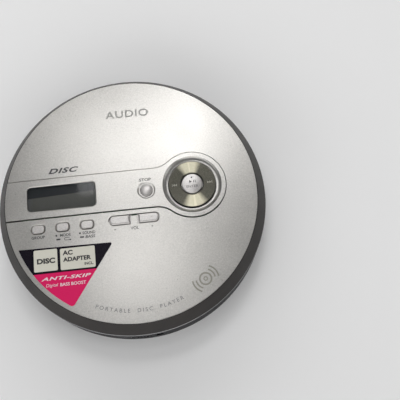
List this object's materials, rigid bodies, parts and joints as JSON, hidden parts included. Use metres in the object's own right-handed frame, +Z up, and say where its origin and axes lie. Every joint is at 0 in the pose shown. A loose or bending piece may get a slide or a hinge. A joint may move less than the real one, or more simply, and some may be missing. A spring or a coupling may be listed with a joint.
{
  "type": "portable cd player",
  "caption": "Round clam-shell portable disc player with a silver lid, display window, jog ring, keys, hinged battery door and full drive mechanism.",
  "frame": {"origin": "on the table under the middle of the round case, level with the feet", "axes": "+X to the right along the control panel, +Y to the hinge, +Z up through the lid"},
  "size_m": [0.1384, 0.1384, 0.0288],
  "materials": {
    "silver_paint": "satin metallic paint",
    "smoke_rim": "smoky translucent gloss",
    "case_black": "near-black, fine spark texture",
    "trim_grey": "light grey line",
    "well_black": "black, smooth",
    "display_window": "clear, dark tint",
    "display_cell": "olive grey liquid crystal",
    "spun_metal": "spun in fine rings",
    "key_silver": "silver paint",
    "rocker_black": "black",
    "sticker": "printed label, satin",
    "foot_rubber": "matt",
    "steel": "bright",
    "screw_steel": "blackened",
    "circuit_board": "green solder mask",
    "chip": "black epoxy",
    "capacitor": "bare can",
    "cell_jacket": "printed sleeve",
    "contact": "nickel plated",
    "motor_can": "plated",
    "chassis_steel": "zinc plated",
    "lens": "coated",
    "sled_plastic": "black",
    "damper_rubber": "soft"
  },
  "bodies": {
    "base": {"lower_case": "case_black", "case_trim": "trim_grey", "disc_deck": "well_black", "rubber_feet": "foot_rubber", "case_screws": "screw_steel", "battery_box": "well_black", "battery_cells": "cell_jacket", "battery_springs": "contact", "battery_plates": "contact", "main_board": "circuit_board", "board_chips": "chip", "board_capacitors": "capacitor", "headphone_jack": "rocker_black", "dc_jack": "rocker_black", "hold_switch": "rocker_black", "latch_spring": "steel", "lid_spring": "steel", "mech_chassis": "chassis_steel", "damper_grommets": "damper_rubber", "damper_screws": "steel", "spindle_motor": "motor_can", "guide_rods": "steel", "sled_motor": "motor_can", "screw_bracket": "chassis_steel"},
    "lid": {"lid_rim": "smoke_rim", "lid_top": "silver_paint", "control_panel": "silver_paint", "lcd_window": "display_window", "lcd_module": "display_cell", "lid_circuit_board": "circuit_board", "tact_switches": "contact", "lid_inner_cover": "well_black", "lid_screws": "screw_steel", "label_sticker": "sticker", "hinge_pins": "steel", "latch_claw": "rocker_black"},
    "jog": {"jog_base": "rocker_black", "jog_plate": "spun_metal"},
    "play_key": {"play_button": "key_silver"},
    "stop_key": {"stop_button": "key_silver"},
    "group_key": {"group_button": "key_silver"},
    "mode_key": {"mode_button": "key_silver"},
    "sound_key": {"sound_button": "key_silver"},
    "volume_down_key": {"volume_down": "key_silver"},
    "volume_up_key": {"volume_up": "key_silver"},
    "battery_door": {"battery_door": "case_black"},
    "open_slider": {"open_knob": "case_black", "latch_slider": "rocker_black"},
    "hold_slider": {"hold_knob": "case_black"},
    "spindle": {"spindle_shaft": "steel", "turntable": "well_black", "hub_balls": "steel"},
    "sled": {"pickup_body": "sled_plastic"},
    "lens": {"lens_holder": "sled_plastic", "objective_lens": "lens"},
    "screw": {"lead_screw": "steel"}
  },
  "joints": [
    {"name": "lid_hinge", "type": "hinge", "parent": "base", "child": "lid", "pos_m": [0, 0.0656, 0.0172], "axis": [-1, 0, 0], "range_deg": [0, 65]},
    {"name": "jog_tilt", "type": "hinge", "parent": "lid", "child": "jog", "pos_m": [0.0314, 0.0033, 0.0255], "axis": [0, 1, 0], "range_deg": [-2, 2], "stiffness_Nm_per_rad": 0.3},
    {"name": "play_press", "type": "slide", "parent": "lid", "child": "play_key", "axis": [0, 0, -1], "range_m": [0, 0.00035], "stiffness_N_per_m": 1000},
    {"name": "stop_press", "type": "slide", "parent": "lid", "child": "stop_key", "axis": [0, 0, -1], "range_m": [0, 0.0004], "stiffness_N_per_m": 1000},
    {"name": "group_press", "type": "slide", "parent": "lid", "child": "group_key", "axis": [0, 0, -1], "range_m": [0, 0.0004], "stiffness_N_per_m": 1000},
    {"name": "mode_press", "type": "slide", "parent": "lid", "child": "mode_key", "axis": [0, 0, -1], "range_m": [0, 0.0004], "stiffness_N_per_m": 1000},
    {"name": "sound_press", "type": "slide", "parent": "lid", "child": "sound_key", "axis": [0, 0, -1], "range_m": [0, 0.0004], "stiffness_N_per_m": 1000},
    {"name": "volume_down_press", "type": "slide", "parent": "lid", "child": "volume_down_key", "axis": [0, 0, -1], "range_m": [0, 0.0004], "stiffness_N_per_m": 1000},
    {"name": "volume_up_press", "type": "slide", "parent": "lid", "child": "volume_up_key", "axis": [0, 0, -1], "range_m": [0, 0.0004], "stiffness_N_per_m": 1000},
    {"name": "battery_door_hinge", "type": "hinge", "parent": "base", "child": "battery_door", "pos_m": [0, -0.0174, 0.0017], "axis": [1, 0, 0], "range_deg": [0, 90]},
    {"name": "open_slide", "type": "slide", "parent": "base", "child": "open_slider", "axis": [1, 0, 0], "range_m": [0, 0.003], "stiffness_N_per_m": 300, "deforming": ["latch_spring"]},
    {"name": "hold_slide", "type": "slide", "parent": "base", "child": "hold_slider", "axis": [0, 1, 0], "range_m": [0, 0.0025]},
    {"name": "spindle_spin", "type": "hinge", "parent": "base", "child": "spindle", "pos_m": [0, 0, 0.0189], "axis": [0, 0, 1], "continuous": true},
    {"name": "sled_slide", "type": "slide", "parent": "base", "child": "sled", "axis": [0, 1, 0], "range_m": [0, 0.0345]},
    {"name": "screw_spin", "type": "hinge", "parent": "base", "child": "screw", "pos_m": [-0.0172, 0.03, 0.01], "axis": [0, 1, 0], "range_deg": [0, 4141]},
    {"name": "lens_focus", "type": "slide", "parent": "sled", "child": "lens", "axis": [0, 0, 1], "range_m": [-0.0004, 0.0004], "stiffness_N_per_m": 200}
  ],
  "couplings": [
    {"joint": "screw_spin", "follows": "sled_slide", "rad_per_m": 2094.4}
  ]
}
